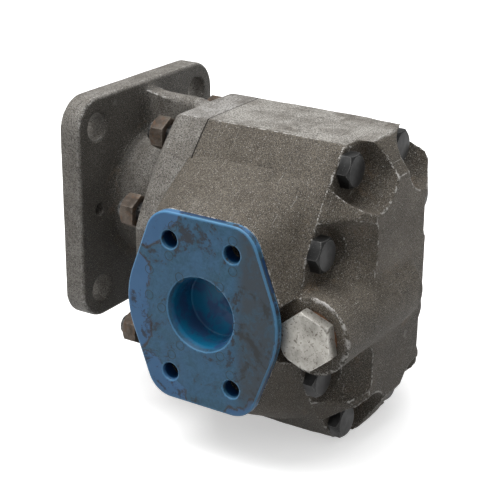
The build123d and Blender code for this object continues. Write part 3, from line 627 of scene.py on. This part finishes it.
def blue_plastic():
    look = Look("grimy_blue_plastic", 0.42)
    look.shader.inputs["Specular IOR Level"].default_value = 0.3
    look.shader.inputs["Subsurface Weight"].default_value = 0.08
    look.shader.inputs["Subsurface Radius"].default_value = (0.002, 0.004, 0.008)
    look.shader.inputs["Subsurface Scale"].default_value = 0.5
    rim, edge, hollow = look.attribute("rim_mm"), look.attribute("edge"), look.attribute("hollow")
    deep, bore = look.attribute("deep"), look.attribute("bore")
    across, up = look.axis(0), look.axis(2)
    broad = look.noise(26, 4, 0.6, 0.5, seed=1.1)
    blots = look.noise(85, 5, 0.7, 0.8, seed=2.6)
    fine = look.noise(520, 4, 0.7, seed=5.2)
    clean = look.mix(look.span(broad, 0.3, 0.7), (0.040, 0.128, 0.265), (0.062, 0.165, 0.330))
    dirty = look.mix(look.span(fine, 0.30, 0.7), (0.016, 0.070, 0.118), (0.036, 0.125, 0.210))
    left, low = look.span(across, 0.066, 0.116, 11.5, 0.0), look.span(up, -0.072, -0.045, 4.5, 0.0)
    reach = look.sum("ADD", look.sum("ADD", left, low), look.span(blots, 0.25, 0.75, -2.0, 2.0))
    past = look.sum("SUBTRACT", rim, reach)
    inside = look.span(past, -0.5, 0.6)
    color = look.mix(look.sum("MULTIPLY", inside, look.span(blots, 0.32, 0.64, 1.0, 0.6)), clean, dirty)
    smears = look.sum("MULTIPLY_ADD", fine, 0.35, look.noise(58, 5, 0.72, 1.0, seed=33.0))
    film = look.span(smears, 0.695, 0.79, 0.0, 0.8)
    film = look.sum("MULTIPLY", film, look.span(rim, 1.0, 3.0))
    color = look.mix(film, color, (0.034, 0.026, 0.021))
    edgeward = look.sum("MULTIPLY", look.span(across, 0.117, 0.125), look.span(up, -0.075, -0.060))
    speckled = look.span(look.sum("MULTIPLY_ADD", fine, 0.6, blots), 0.55, 0.85, 0.25, 0.85)
    grime = look.sum("MULTIPLY", look.sum("MULTIPLY", edgeward, speckled), look.span(rim, 0.8, 2.0))
    color = look.mix(grime, color, (0.028, 0.032, 0.034))
    near = look.span(look.sum("ABSOLUTE", past), 1.3, 0.1)
    streak = look.sum("MULTIPLY", near, look.span(look.noise(70, 5, 0.75, 0.5, seed=7.0), 0.40, 0.52))
    color = look.mix(look.sum("MULTIPLY", streak, 0.9), color, (0.022, 0.013, 0.008))
    rest = look.sum("MULTIPLY", look.span(hollow, 0.1, 0.6), look.span(blots, 0.35, 0.6, 0.2, 0.8))
    color = look.mix(rest, color, (0.014, 0.028, 0.036))
    cup = look.mix(look.span(blots, 0.42, 0.58), (0.004, 0.150, 0.290), (0.030, 0.085, 0.200))
    color = look.mix(look.span(deep, 0.1, 0.6, 0.0, 0.92), color, cup)
    # Painted shade: the peg bores darkened to deep navy.
    color = look.mix(look.span(bore, 0.1, 0.6, 0.0, 0.95), color, (0.002, 0.030, 0.095))
    # Painted highlight: a brighter blue along the cap's edges and hole rims, kept off the recess and the
    # bores.
    outside = look.span(look.sum("MAXIMUM", deep, bore), 0.6, 0.15)
    edge_highlight = look.sum("MULTIPLY", look.span(edge, 0.25, 0.75), outside)
    color = look.mix(look.sum("MULTIPLY", edge_highlight, 0.65), color, (0.110, 0.300, 0.520))
    rough = look.span(film, 0.0, 0.7, 0.40, 0.62)
    return look.finish(color, rough, look.bump(look.sum("MULTIPLY_ADD", blots, 0.5, fine), 0.06, 0.5))


def plug_metal():
    look = Look("pitted_pale_steel", 0.42, 0.55)
    broad = look.noise(110, 4, 0.6, 0.4)
    fine = look.noise(1500, 3, 0.7, seed=3.0)
    pits = look.noise(700, 4, 0.8, 0.3, seed=6.0)
    color = look.mix(look.span(broad, 0.3, 0.7), (0.25, 0.24, 0.215), (0.42, 0.405, 0.37))
    color = look.mix(look.span(pits, 0.53, 0.62, 0.0, 0.9), color, (0.075, 0.052, 0.036))
    color = look.mix(look.span(fine, 0.62, 0.7, 0.0, 0.4), color, (0.20, 0.17, 0.14))
    lighter_edges = look.sum("MULTIPLY", look.edges(0.6), look.span(look.noise(380, 2, seed=8.0), 0.35, 0.55))
    color = look.mix(look.sum("MULTIPLY", lighter_edges, 0.6), color, (0.72, 0.70, 0.66))
    height = look.sum("SUBTRACT", fine, look.span(pits, 0.58, 0.66, 0.0, 2.0))
    return look.finish(color, look.span(broad, 0.3, 0.7, 0.5, 0.34), look.bump(height, 0.08, 0.6))


# ---- dress the CAD nodes that show as they are ----
def soften_edges(node, width):
    obj = frame["nodes"][node]
    weld = obj.modifiers.new("weld", "WELD")
    weld.merge_threshold = 1e-5
    bevel = obj.modifiers.new("edges", "BEVEL")
    bevel.limit_method = "ANGLE"
    bevel.angle_limit = math.radians(24)
    bevel.width = width * MM
    bevel.segments = 2
    bevel.harden_normals = True
    obj.data.shade_smooth()


def dress(node, material):
    data = frame["nodes"][node].data
    data.materials.clear()
    data.materials.append(material)


body = pump_body_skin()
cover = mounting_cover_skin()
cap = port_cap_skin()
marks = ejector_marks()
coil = relief_spring_coil()

body_iron = cast_iron(
    "body_cast_iron", (0.43, 0.415, 0.385), (0.098, 0.082, 0.061), (0.021, 0.017, 0.011),
    (0.036, 0.024, 0.012), (0.52, 0.505, 0.48))
cover_iron = cast_iron(
    "cover_cast_iron", (0.44, 0.43, 0.415), (0.215, 0.205, 0.188), (0.060, 0.054, 0.046),
    (0.060, 0.049, 0.037), (0.50, 0.49, 0.47), plate=(0.036, 0.035, 0.032))
plastic = blue_plastic()
grimy_rings = rubber("grime_in_the_marks", (0.010, 0.030, 0.040), (0.030, 0.055, 0.070))
for obj, material in ((body, body_iron), (cover, cover_iron), (cap, plastic), (marks, grimy_rings)):
    obj.data.materials.clear()
    obj.data.materials.append(material)

black_steel = steel(
    "black_bolt_steel", (0.012, 0.012, 0.012), (0.005, 0.005, 0.005), (0.20, 0.20, 0.195), 0.45, 0.4)
rusty_steel = steel(
    "rusty_nut_steel", (0.115, 0.090, 0.070), (0.040, 0.028, 0.019), (0.30, 0.27, 0.23), 0.6, 0.35,
    stain=(0.090, 0.050, 0.027), depth=0.12, edge_share=0.5)
ground_steel = turned("oiled_ground_steel", (0.55, 0.55, 0.55), (0.33, 0.31, 0.28), 0.26)
bronze = turned("bearing_bronze", (0.50, 0.33, 0.14), (0.28, 0.17, 0.07), 0.36)
copper = turned("tarnished_copper", (0.28, 0.15, 0.085), (0.12, 0.07, 0.045), 0.5)
spring_metal = turned("oiled_spring_steel", (0.30, 0.30, 0.31), (0.15, 0.14, 0.13), 0.35)
black_rubber = rubber("moulded_rubber")
slot_looks = {
    "ground_steel": ground_steel, "bearing_bronze": bronze, "seal_rubber": black_rubber,
    "spring_steel": spring_metal, "black_bolt_steel": black_steel, "rusty_nut_steel": rusty_steel,
    "plug_steel": plug_metal(), "copper_washer": copper,
}
coil.data.materials.clear()
coil.data.materials.append(spring_metal)
for part in frame["record"]["subparts"]:
    if part["material_slot"] in slot_looks:
        dress(part["node"], slot_looks[part["material_slot"]])
edge_widths = {"through_bolts": 0.3, "bolt_nuts": 0.3, "relief_valve_plug": 0.35, "shaft_key": 0.3}
for node, width in edge_widths.items():
    soften_edges(node, width)


# ---- floor, light and camera ----
FLOOR_R = 6.0
FLOOR_GAP = 0.0002
CAMERA_ANGLES = (32.37, 21.23, 0.58)  # turn, rise and roll in degrees
CAMERA_PLACE = (0.43879, -0.57811, 0.24399)
CAMERA_LENS = 98.91
CAMERA_SHIFT = (0.0151, -0.00868)


def floor():
    mesh = bpy.data.meshes.new("floor")
    work = bmesh.new()
    bmesh.ops.create_circle(work, cap_ends=True, segments=64, radius=FLOOR_R)
    work.to_mesh(mesh)
    work.free()
    obj = bpy.data.objects.new("floor", mesh)
    obj.location.z = cad_box[0][2] - FLOOR_GAP
    scene.collection.objects.link(obj)
    look = Look("pale_floor", 0.9)
    shade = look.noise(3, 2)
    look.shader.inputs["Emission Color"].default_value = (1, 1, 1, 1)
    look.shader.inputs["Emission Strength"].default_value = 0.45
    obj.data.materials.append(look.finish(look.mix(shade, (0.90, 0.90, 0.90), (0.92, 0.92, 0.92))))
    obj.visible_diffuse = False


def softbox(name, place, aim, size, power):
    data = bpy.data.lights.new(name, "AREA")
    data.shape = "SQUARE"
    data.size = size
    data.energy = power
    obj = bpy.data.objects.new(name, data)
    obj.location = place
    obj.rotation_euler = (Vector(aim) - Vector(place)).to_track_quat("-Z", "Y").to_euler()
    scene.collection.objects.link(obj)


def sky():
    world = bpy.data.worlds.new("studio")
    world.use_nodes = True
    scene.world = world
    tree = world.node_tree
    background = tree.nodes["Background"]
    coord = tree.nodes.new("ShaderNodeTexCoord")
    split = tree.nodes.new("ShaderNodeSeparateXYZ")
    tree.links.new(coord.outputs["Generated"], split.inputs["Vector"])
    ramp = tree.nodes.new("ShaderNodeMapRange")
    ramp.interpolation_type = "SMOOTHSTEP"
    tree.links.new(split.outputs["Z"], ramp.inputs["Value"])
    for name, number in (("From Min", -0.35), ("From Max", 0.75), ("To Min", 0.06), ("To Max", 0.80)):
        ramp.inputs[name].default_value = number
    tree.links.new(ramp.outputs["Result"], background.inputs["Strength"])
    background.inputs["Color"].default_value = (1, 1, 1, 1)


def camera():
    turn, rise, roll = (math.radians(v) for v in CAMERA_ANGLES)
    back = Vector((math.sin(turn) * math.cos(rise), -math.cos(turn) * math.cos(rise), math.sin(rise)))
    right = Vector((math.cos(turn), math.sin(turn), 0))
    up = back.cross(right)
    across = right * math.cos(roll) + up * math.sin(roll)
    upward = up * math.cos(roll) - right * math.sin(roll)
    data = bpy.data.cameras.new("camera")
    data.sensor_width = 36
    data.lens = CAMERA_LENS
    data.shift_x, data.shift_y = CAMERA_SHIFT
    data.clip_end = 50
    obj = bpy.data.objects.new("camera", data)
    rows = zip(across, upward, back, CAMERA_PLACE)
    obj.matrix_world = Matrix((*rows, (0, 0, 0, 1)))
    scene.collection.objects.link(obj)
    scene.camera = obj


floor()
softbox("key", (-0.45, -0.50, 1.35), (0.08, 0, -0.03), 1.0, 14)
softbox("top", (0.15, 0.10, 1.5), (0.08, 0, 0), 1.2, 11)
sky()
camera()
scene.view_settings.view_transform = "Standard"
